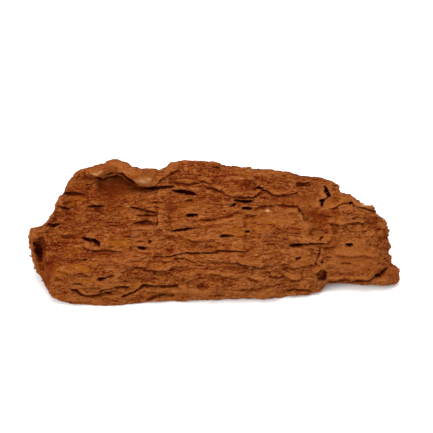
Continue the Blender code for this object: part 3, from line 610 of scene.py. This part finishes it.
# Where the wood is lighter, redder or paler than the rest, and where light and shade are painted: column,
# row, half length, half height, tilt, strength from -1 to 1
tones = {
    "light": [
        # painted highlight on the lip at 144, 181; painted shade in the hollows at 98, 209.8, 144, 222.8
        # and 40.5, 249, and in the gaps under edges at 352, 281 and 379.5, 273.5
        (144, 181, 10, 5, 0, 0.95), (122, 164, 16, 4, -4, 0.2), (281, 218, 21, 7, 0, 0.22),
        (280, 182, 50, 9, 4, -0.26), (200, 172, 40, 13, 0, -0.22), (235, 190, 60, 16, 0, -0.12),
        (72, 200, 13, 5, 0, -0.25), (98, 209.8, 7, 3.8, 0, -0.34), (144, 222.8, 13, 3.6, 0, -0.24),
        (147, 213, 12, 5, 0, -0.04), (379.5, 273.5, 7, 5, 32, -0.35), (236, 231, 30, 6, 0, -0.06),
        (150, 280, 85, 12, 0, 0.04), (352, 236, 30, 24, 0, 0.1), (352, 262, 26, 12, 0, 0.08),
        (362, 208, 16, 6, 22, 0.2), (352, 276.4, 24, 1.8, 2, 0.2), (124, 182, 26, 9, 8, -0.05),
        (40.5, 249, 8, 19, 0, -0.5), (46, 275, 9, 22, -22, -0.2), (94, 214, 52, 56, 0, -0.12),
        (172, 201, 60, 22, 0, -0.07), (180, 250, 50, 22, 0, -0.05), (54, 255, 13, 19, 0, -0.14),
        (82, 251, 30, 24, 0, -0.09), (92, 202, 22, 12, 0, -0.12), (84, 184, 12, 9, 0, -0.1),
        (187, 195, 26, 8, 0, -0.1), (168, 260, 26, 11, 0, -0.07), (190, 293, 26, 6, 0, 0.16),
        (258, 284, 46, 9, -2, 0.08), (322, 259, 20, 10, 0, 0.08), (232, 226, 28, 10, 0, 0.1),
        (384, 281, 12, 7, 0, 0.16), (174, 170, 14, 9, 0, 0.14), (108, 182, 15, 7, 0, 0.18),
        (146, 186, 10, 4, 0, 0.12), (216, 184, 12, 6, 0, -0.16), (329, 200, 9, 9, 0, -0.1),
        (290, 264, 110, 34, -4, 0.06), (205, 294, 46, 7, -2, 0.1), (266, 179, 40, 10, 3, 0.08),
        (346, 259, 40, 13, 0, 0.07), (220, 233, 16, 10, 0, 0.1), (49, 252, 10, 16, 0, -0.14),
        (324, 222, 20, 13, -15, -0.12), (352, 281, 28, 3.0, 0, -0.46), (385, 276, 15, 10, 0, -0.12),
        (244, 205, 12, 6, 0, -0.2), (76, 299, 24, 3.5, 4, 0.1), (240, 294, 80, 3.5, -3, 0.22),
        (122, 301, 26, 2.5, 0, -0.2),
    ],
    "red": [
        (114, 184, 26, 11, -9, 0.7), (98, 209.8, 7, 3.8, 0, 0.5), (379.5, 273.5, 7, 5, 32, 0.5),
        (72, 200, 14, 5, 0, 0.4), (340, 283, 26, 5, 0, 0.3), (92, 262, 22, 16, 0, 0.3),
        (96, 226, 62, 50, 0, 0.2), (392, 274, 12, 8, 0, -0.4), (195, 292, 40, 9, -2, -0.25),
        (95, 235, 20, 14, 0, 0.25), (318, 214, 14, 10, -20, 0.3), (41.5, 250, 8, 18, 0, 0.5),
        (144, 181, 12, 6, 0, -0.5), (352, 232, 38, 34, 0, -0.35), (281, 218, 24, 9, 0, -0.2),
    ],
    "cream": [
        (267.6, 210.3, 2.1, 2.1, 0, 1.0), (366.5, 204.4, 5.5, 1.8, 4, 1.0),
        (351.6, 217.2, 1.4, 1.0, 0, 0.5), (95, 174.4, 4.2, 1.4, -10, 0.5),
        # the spots on the lip from 136 to 149, around row 180, are painted highlight; the rest are pale
        # chips
        (100, 172.2, 3.0, 1.1, 15, 0.45), (143, 181.5, 5.0, 1.8, -8, 0.38), (149, 179.5, 3, 1.4, 6, 0.35),
        (136, 180.5, 2.4, 0.9, -30, 0.35), (144.5, 181, 10, 4, 0, 0.12), (356, 207.5, 2.2, 0.8, 0, 0.5),
        (345, 214.5, 1.6, 0.8, 0, 0.4),
    ],
    "ochre": [
        (73, 200, 13, 5, 0, 0.9), (118, 240, 20, 7, -8, 0.8), (82, 268, 18, 7, 10, 0.7),
        (85, 282, 20, 5, 0, 0.6), (60, 275, 10, 12, -30, 0.5), (262, 222, 34, 9, -3, 0.5),
        (236, 231, 30, 6, 0, 0.5), (152, 178, 12, 7, 0, 0.5), (140, 197, 12, 6, 0, 0.4),
        (345, 198, 12, 7, 20, 0.5), (200, 243, 30, 5, 0, 0.35), (313, 236, 16, 4, 0, 0.3),
        (128, 206, 10, 12, 0, 0.35), (186, 206, 16, 6, 0, 0.3), (160, 292, 60, 8, -3, 0.35),
        (362, 225, 16, 10, 0, 0.3),
    ],
    "rim": 0.26, "rimHighlightEdge": (-0.3, 0.6), "rimHighlightWidth": 2.6,       # painted highlight and painted shadow at plate edges; edges and widths in squares
    "ledgeShadow": 0.24, "ledgeShadowEdge": (0.3, -0.9), "ledgeShadowWidth": 3.2,
    "strays": {     # how far the patches' outlines stray, in squares, and cells in metres
        "toneColumns": (3.0, (0.01, 0.004, 0.004)), "fineToneColumns": (3.0, (0.004, 0.0014, 0.0014)),
        "toneRows": (1.5, (0.008, 0.003, 0.003)), "fineToneRows": (1.2, (0.004, 0.0014, 0.0014)),
    },
    "frontFacing": (-0.1, 0.25),
    "cavityDepth": 0.0011,      # metres below the smoothed surface that count as fully hollow
    "cavityRounds": 26, "deepest": 4,
}


# how far each point lies below its smoothed surround; the material paints shade in hollows and highlight on
# ridges from it
def hollowness(data, points, outward):
    pairs = np.empty(len(data.edges) * 2, np.int32)
    data.edges.foreach_get("vertices", pairs)
    one, other = pairs.reshape(-1, 2).T
    count = np.bincount(pairs, minlength=len(points))[:, None]
    evened = np.hstack([points, outward])
    for _ in range(tones["cavityRounds"]):
        total = np.stack([np.bincount(one, evened[other, k], len(points)) +
                          np.bincount(other, evened[one, k], len(points)) for k in range(6)], axis=1)
        evened = 0.5 * evened + 0.5 * total / count
    facing = evened[:, 3:] / np.linalg.norm(evened[:, 3:], axis=1)[:, None]
    return ((evened[:, :3] - points) * facing).sum(axis=1) / tones["cavityDepth"]


def paintedLedgeLight(points):       # painted highlight along the plates' edges, and painted shadow just beyond them below the step
    columns, rows = raggedSeen(points)
    value = np.zeros(len(points))
    for proud, reach, path in faceForms["ledges"]:
        above, share = edgeDistance(columns, rows, path, rims["ledgeEnds"])
        above = above if reach * proud > 0 else -above
        paleTone = smoothstep(*tones["rimHighlightEdge"], above) * np.exp(-np.maximum(above, 0) / tones["rimHighlightWidth"])
        shadowed = smoothstep(*tones["ledgeShadowEdge"], above) * np.exp(np.minimum(above, 0) / tones["ledgeShadowWidth"])
        value += share * (tones["rim"] * paleTone - tones["ledgeShadow"] * shadowed)
    return np.clip(value, -tones["ledgeShadow"], tones["rim"])


def toned(data):
    points, outward = readVectors(data.vertices, "co"), readVectors(data.vertex_normals, "vector")
    columns, rows = seen(points)
    strays = {name: far * noise(points, cell, seeds[name]) for name, (far, cell) in tones["strays"].items()}
    strayed = (columns + strays["toneColumns"] + strays["fineToneColumns"],
               rows + strays["toneRows"] + strays["fineToneRows"])
    front = smoothstep(*tones["frontFacing"], outward @ toEye)
    shown = np.maximum(front, smoothstep(*weather["endFacing"], np.abs(outward[:, 0])))
    for name in ("light", "red", "ochre", "cream"):
        across, down = (columns, rows) if name == "cream" else strayed      # pale spots keep their shape
        value = np.zeros(len(points))
        for form in tones[name]:
            value += form[5] * smoothstep(*rims["patch"], ovalShare(across, down, form))
        # the painted highlight and painted shadow along the plates' edges join these patches
        if name == "light":
            value += paintedLedgeLight(points)
        storeNumbers(data, name, value * front)
    storeNumbers(data, "calm", shown * calmness(points))
    storeNumbers(data, "hollow", np.clip(hollowness(data, points, outward), -1, tones["deepest"]))
    return data


# Colours are linear red, green and blue. Each mixture lists its patterns, with the number that each is
# multiplied by and the one added to it.
wood = {
    "ramp": [(0.0, (0.052, 0.0026, 0.0003)), (0.26, (0.092, 0.0112, 0.0012)),
             (0.5, (0.146, 0.03, 0.0043)), (1.0, (0.264, 0.081, 0.0195))],      # dark to pale
    "red": (0.105, 0.015, 0.0024), "ochre": (0.232, 0.064, 0.004), "paleTone": (0.33, 0.124, 0.038),
    # the darkest colour is painted shadow for the insides of deep hollows
    "cream": (0.5, 0.33, 0.16), "holeShadow": (0.078, 0.0036, 0.0003),
    "noises": {     # cells to a metre, detail, shift
        "fibre": ((210, 950, 950), 3, 3.1), "strand": ((90, 320, 320), 3, 7.7),
        "blotch": ((34, 80, 80), 2, 11.3), "speck": ((560, 1100, 1100), 1, 17.9),
        "chip": ((330, 520, 520), 2, 23.3), "hue": ((150, 420, 420), 2, 29.7),
        "stain": ((120, 360, 360), 2, 31.9), "wear": ((300, 700, 700), 2, 37.1),
    },
    "noiseRoughness": 0.65,
    "flakes": ((120, 380, 380), 5.1), "crumbs": ((380, 850, 850), 9.7),     # cells to a metre, shift
    "wobble": (0.006, 0.0022, 0.0022), "wobbleScale": 260.0, "wobbleDetail": 2.0,
    "shade": {"fibre": (1.4, -0.7), "chip": (0.36, -0.18), "strand": (0.6, -0.3),
              "blotch": (0.6, -0.3), "speck": (1.85, -0.925), "layerShade": (0.24, 0),
              "flakeShade": (0.18, -0.09), "crumbShade": (0.28, -0.14)},
    "middleShade": 0.5, "shadeIfCalm": (-0.75, 1.0),
    "busy": {"From Min": 0.3, "From Max": 0.7, "To Min": 0.45, "To Max": 1.3},
    # painted shade in hollows and painted highlight on ridges, less where calm
    "cavityShadeIfCalm": (-0.17, 0.28),
    # hollows are made redder as painted shade, as light bounced inside the wood would tint them
    "redness": {"stain": (2.0, -1.0), "layerHue": (0.4, 0), "flakeHue": (0.4, -0.2), "red": (1, 0),
                "hollow": (0.45, 0)},
    "warmth": {"hue": (3.4, -1.92), "layerHue": (-0.6, 0), "flakeHue": (-0.6, 0.2), "ochre": (1, 0)},
    "paleness": {"wear": (7.0, -4.15), "flakeWear": (1.4, -0.7)},
    "mostRed": 0.62, "mostOchre": 0.75, "mostCream": 0.85, "wornIfCalm": (-0.6, 0.7),
    "deep": {"From Min": 1.1, "From Max": 3.3}, "deepIfCalm": (-1.0, 1.0),
    "relief": {"fibre": (0.6, 0), "strand": (0.4, 0), "speck": (0.25, 0), "chip": (0.25, 0),
               "flakeShade": (0.3, 0)},
    "roughness": 0.9, "specular": 0.025, "bumpDepth": 0.0008,
}


def makeNode(tree, kind, inputs=(), **settings):
    node = tree.nodes.new(kind)
    for name, value in settings.items():
        setattr(node, name, value)
    for name, value in dict(inputs).items():
        socket = node.inputs[name]
        if isinstance(value, bpy.types.NodeSocket):
            tree.links.new(value, socket)
        else:
            socket.default_value = value
    return node


def calc(tree, operation, *values, clamp=False):
    node = makeNode(tree, "ShaderNodeMath", dict(enumerate(values)), operation=operation, use_clamp=clamp)
    return node.outputs[0]


def blend(tree, share, first, second):
    node = tree.nodes.new("ShaderNodeMix")
    node.data_type = "RGBA"
    node.clamp_factor = True
    for socket, value in ((node.inputs[0], share), (node.inputs[6], first), (node.inputs[7], second)):
        if isinstance(value, bpy.types.NodeSocket):
            tree.links.new(value, socket)
        else:
            socket.default_value = (*value, 1) if isinstance(value, tuple) else value
    return node.outputs[2]


def inCells(tree, place, cells, shift):
    moved = makeNode(tree, "ShaderNodeMapping", {"Vector": place, "Scale": cells, "Location": (shift,) * 3})
    return {"Vector": moved.outputs[0], "Scale": 1.0}


def cellNoise(tree, place, cells, detail, shift):
    return makeNode(tree, "ShaderNodeTexNoise",
                    {**inCells(tree, place, cells, shift), "Detail": detail,
                     "Roughness": wood["noiseRoughness"]}).outputs["Fac"]


def flakeNoise(tree, place, cells, shift):      # crisp-edged patches, each with numbers of its own
    wobble = makeNode(tree, "ShaderNodeTexNoise",
                      {"Vector": place, "Scale": wood["wobbleScale"], "Detail": wood["wobbleDetail"]})
    bent = makeNode(tree, "ShaderNodeVectorMath",
                    {0: wobble.outputs["Color"], 1: wood["wobble"], 2: place}, operation="MULTIPLY_ADD")
    flakes = makeNode(tree, "ShaderNodeTexVoronoi", inCells(tree, bent.outputs[0], cells, shift))
    return makeNode(tree, "ShaderNodeSeparateColor", {"Color": flakes.outputs["Color"]}).outputs


def mattMaterial(name, roughness, specular):
    material = bpy.data.materials.new(name)
    material.use_nodes = True
    inputs = material.node_tree.nodes["Principled BSDF"].inputs
    inputs["Roughness"].default_value = roughness
    inputs["Specular IOR Level"].default_value = specular
    return material, inputs


def makeWood():
    material, inputs = mattMaterial("mangroveRootWood", wood["roughness"], wood["specular"])
    tree = material.node_tree
    node, maths = functools.partial(makeNode, tree), functools.partial(calc, tree)
    place = node("ShaderNodeTexCoord").outputs["Object"]
    patterns = {name: node("ShaderNodeAttribute", attribute_name=name).outputs["Fac"]
                for name in ("light", "red", "ochre", "cream", "calm", "hollow", "layerShade", "layerHue")}
    for name, settings in wood["noises"].items():
        patterns[name] = cellNoise(tree, place, *settings)
    patterns.update(zip(("flakeShade", "flakeHue", "flakeWear"), flakeNoise(tree, place, *wood["flakes"])))
    patterns["crumbShade"] = flakeNoise(tree, place, *wood["crumbs"])[0]
    hollow = patterns["hollow"]

    def mixed(name):
        total = 0.0
        for pattern, (share, shift) in wood[name].items():
            total = maths("ADD", total, maths("MULTIPLY_ADD", patterns[pattern], share, shift))
        return total

    def ifCalm(value, name):        # less of it where the wood is calm
        return maths("MULTIPLY", value, maths("MULTIPLY_ADD", patterns["calm"], *wood[name]))

    busy = node("ShaderNodeMapRange", {"Value": patterns["stain"], **wood["busy"]}).outputs[0]
    shade = maths("MULTIPLY", ifCalm(mixed("shade"), "shadeIfCalm"), busy)
    # painted light: the patches add painted highlight and shade, hollows are darkened as painted shade and
    # ridges lightened as painted highlight
    shade = maths("SUBTRACT", maths("ADD", shade, patterns["light"]), ifCalm(hollow, "cavityShadeIfCalm"))
    shade = maths("ADD", shade, wood["middleShade"], clamp=True)
    rampNode = node("ShaderNodeValToRGB", {"Fac": shade})
    elements = rampNode.color_ramp.elements
    for share, _ in wood["ramp"][1:-1]:
        elements.new(share)
    for element, (share, tone) in zip(elements, wood["ramp"]):
        element.position, element.color = share, (*tone, 1)
    redness = maths("MULTIPLY", mixed("redness"), wood["mostRed"], clamp=True)
    colour = blend(tree, redness, rampNode.outputs["Color"], wood["red"])
    warmth = maths("MULTIPLY", mixed("warmth"), wood["mostOchre"], clamp=True)
    colour = blend(tree, warmth, colour, wood["ochre"])
    paleness = maths("MULTIPLY", mixed("paleness"), 1.0, clamp=True)
    colour = blend(tree, ifCalm(paleness, "wornIfCalm"), colour, wood["paleTone"])
    creaminess = maths("MULTIPLY", patterns["cream"], wood["mostCream"], clamp=True)
    colour = blend(tree, creaminess, colour, wood["cream"])
    # painted shadow: deep hollows take the near-black red
    deep = node("ShaderNodeMapRange", {"Value": hollow, **wood["deep"]}).outputs[0]
    colour = blend(tree, ifCalm(deep, "deepIfCalm"), colour, wood["holeShadow"])
    tree.links.new(colour, inputs["Base Color"])
    bump = node("ShaderNodeBump", {"Height": mixed("relief"), "Strength": 1.0,
                                         "Distance": wood["bumpDepth"]})
    tree.links.new(bump.outputs[0], inputs["Normal"])
    return material


def makeRoot(material):
    grown = withModifiers(roughLumps(), ("REMESH", {"mode": "VOXEL", "voxel_size": meshing["voxel"]}),
                          ("SMOOTH", {"factor": meshing["smoothingShare"],
                                      "iterations": meshing["smoothing"]}))
    print("grown:", len(grown.vertices), "points")
    carved = weathered(grown)
    carved.calc_loop_triangles()
    share = min(1.0, meshing["triangles"] / len(carved.loop_triangles))
    fewer = cutFlat(withModifiers(carved, ("DECIMATE", {"ratio": share})))
    piece = smoothPiece("rootWood", fewer)
    toned(fewer)
    fewer.materials.clear()
    fewer.materials.append(material)
    return piece


woodMaterial = makeWood()
root = makeRoot(woodMaterial)
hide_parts("root")
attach(root, "root")

# Loose fibre bundles and flakes that lie along the grain, half sunk in the wood
bundles = {
    "density": 7000.0, "gap": 0.004, "seed": 4,
    "smallest": (0.0026, 0.00055, 0.00036), "largest": (0.006, 0.0011, 0.0006),   # half sizes in metres
    "lift": 0.05, "spread": 0.1, "spreadSeed": 8, "sizeSeed": 9,
    # none where the wood faces its ends, lies low or stayed calm
    "mostEndFacing": 0.35, "lowest": 0.006, "calmest": 0.3,
}


def bundleTree(material):
    tree = bpy.data.node_groups.new("fibreBundles", "GeometryNodeTree")
    face = tree.interface
    face.new_socket("Geometry", in_out="INPUT", socket_type="NodeSocketGeometry")
    kinds = {"Density": "Float", "Gap": "Float", "Smallest": "Vector", "Largest": "Vector", "Lift": "Float",
             "Spread": "Float", "Seed": "Int"}
    for name, kind in kinds.items():
        face.new_socket(name, in_out="INPUT", socket_type="NodeSocket" + kind)
    face.new_socket("Geometry", in_out="OUTPUT", socket_type="NodeSocketGeometry")
    given = tree.nodes.new("NodeGroupInput").outputs
    node = functools.partial(makeNode, tree)

    def judge(kind, first, second, operation):
        return node("FunctionNode" + kind, {0: first, 1: second}, operation=operation).outputs[0]

    def vectorCalc(operation, inputs, output=0):
        return node("ShaderNodeVectorMath", inputs, operation=operation).outputs[output]

    position = node("GeometryNodeInputPosition").outputs[0]
    normal = node("GeometryNodeInputNormal").outputs[0]
    height = node("ShaderNodeSeparateXYZ", {0: position}).outputs["Z"]
    endFacing = calc(tree, "ABSOLUTE", node("ShaderNodeSeparateXYZ", {0: normal}).outputs["X"])
    calm = node("GeometryNodeInputNamedAttribute", {"Name": "calm"}, data_type="FLOAT")
    onEnd = judge("Compare", endFacing, bundles["mostEndFacing"], "GREATER_THAN")
    low = judge("Compare", height, bundles["lowest"], "LESS_THAN")
    sound = judge("Compare", calm.outputs["Attribute"], bundles["calmest"], "GREATER_THAN")
    clear = judge("BooleanMath", judge("BooleanMath", onEnd, low, "OR"), sound, "NOR")
    points = node("GeometryNodeDistributePointsOnFaces",
                  {"Mesh": given["Geometry"], "Distance Min": given["Gap"],
                   "Density Max": given["Density"], "Selection": clear, "Seed": given["Seed"]},
                  distribute_method="POISSON")
    outward = points.outputs["Normal"]
    facing = vectorCalc("DOT_PRODUCT", {0: outward, 1: (1, 0, 0)}, "Value")
    leaning = vectorCalc("SCALE", {0: outward, "Scale": facing})
    flat = vectorCalc("SUBTRACT", {0: (1, 0, 0), 1: leaning})
    lift = vectorCalc("SCALE", {0: outward, "Scale": given["Lift"]})
    stray = node("FunctionNodeRandomValue",
                 {"Min": (-1, -1, -1), "Max": (1, 1, 1), "Seed": bundles["spreadSeed"]},
                 data_type="FLOAT_VECTOR")
    spread = vectorCalc("SCALE", {0: stray.outputs[0], "Scale": given["Spread"]})
    heading = vectorCalc("ADD", {0: vectorCalc("ADD", {0: flat, 1: lift}), 1: spread})
    upright = node("FunctionNodeAlignRotationToVector", {"Vector": outward}, axis="Z")
    turned = node("FunctionNodeAlignRotationToVector",
                  {"Rotation": upright.outputs[0], "Vector": heading}, axis="X", pivot_axis="Z")
    size = node("FunctionNodeRandomValue",
                {"Min": given["Smallest"], "Max": given["Largest"], "Seed": bundles["sizeSeed"]},
                data_type="FLOAT_VECTOR")
    ball = node("GeometryNodeMeshIcoSphere", {"Radius": 1.0, "Subdivisions": 2})
    copies = node("GeometryNodeInstanceOnPoints",
                  {"Points": points.outputs["Points"], "Instance": ball.outputs["Mesh"],
                   "Rotation": turned.outputs[0], "Scale": size.outputs[0]})
    real = node("GeometryNodeRealizeInstances", {"Geometry": copies.outputs[0]})
    done = node("GeometryNodeSetMaterial", {"Geometry": real.outputs[0], "Material": material})
    tree.links.new(done.outputs[0], tree.nodes.new("NodeGroupOutput").inputs[0])
    return tree


def makeBundles(surface, material):
    holder = placeObject("bundleHolder", surface.data.copy())
    modifier = holder.modifiers.new("bundles", "NODES")
    modifier.node_group = bundleTree(material)
    for item in modifier.node_group.interface.items_tree:
        if item.name != "Geometry":
            modifier[item.identifier] = bundles[item.name.lower()]
    return smoothPiece("fibreBundles", baked(holder))


fibres = makeBundles(root, woodMaterial)
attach(fibres, "root")

studio = {
    "world": 1.12, "floorColour": 0.96, "floorSize": 6.0, "floorDrop": 0.0002,
    "key": {"place": (0.0, 0.1, 1.4), "size": 0.8, "power": 10.4},
    "fill": {"place": (-1.2, -0.7, 0.9), "size": 1.0, "power": 11.0},
}


def makeFloor():
    half = studio["floorSize"] / 2
    data = bpy.data.meshes.new("floor")
    corners = [(-half, -half, 0), (half, -half, 0), (half, half, 0), (-half, half, 0)]
    data.from_pydata(corners, [], [(0, 1, 2, 3)])
    material, inputs = mattMaterial("paleFloor", 1.0, 0.0)
    inputs["Base Color"].default_value = (*[studio["floorColour"]] * 3, 1)
    data.materials.append(material)
    floor = placeObject("floor", data)
    floor.location.z = -studio["floorDrop"]


def makeLight(name, place, size, power):
    data = bpy.data.lights.new(name, "AREA")
    data.shape = "DISK"
    data.size = size
    data.energy = power
    lamp = placeObject(name, data)
    lamp.location = place
    lamp.rotation_euler = (-Vector(place)).to_track_quat("-Z", "Y").to_euler()


def makeCamera():
    data = bpy.data.cameras.new("camera")
    data.sensor_width = 36.0        # millimetres
    data.lens = data.sensor_width * view["eyeDistance"] / (view["squares"] * view["square"])
    camera = placeObject("camera", data)
    camera.location = view["aim"] + view["eyeDistance"] * toEye
    camera.rotation_euler = Vector(-toEye).to_track_quat("-Z", "Y").to_euler()
    bpy.context.scene.camera = camera


makeFloor()
for lampName in ("key", "fill"):
    makeLight(lampName, **studio[lampName])
makeCamera()
world = bpy.data.worlds.new("studio")
world.use_nodes = True
backdrop = world.node_tree.nodes["Background"].inputs
backdrop["Color"].default_value = (1, 1, 1, 1)
backdrop["Strength"].default_value = studio["world"]
bpy.context.scene.world = world
bpy.context.scene.view_settings.view_transform = "Standard"
print("stage and camera set")
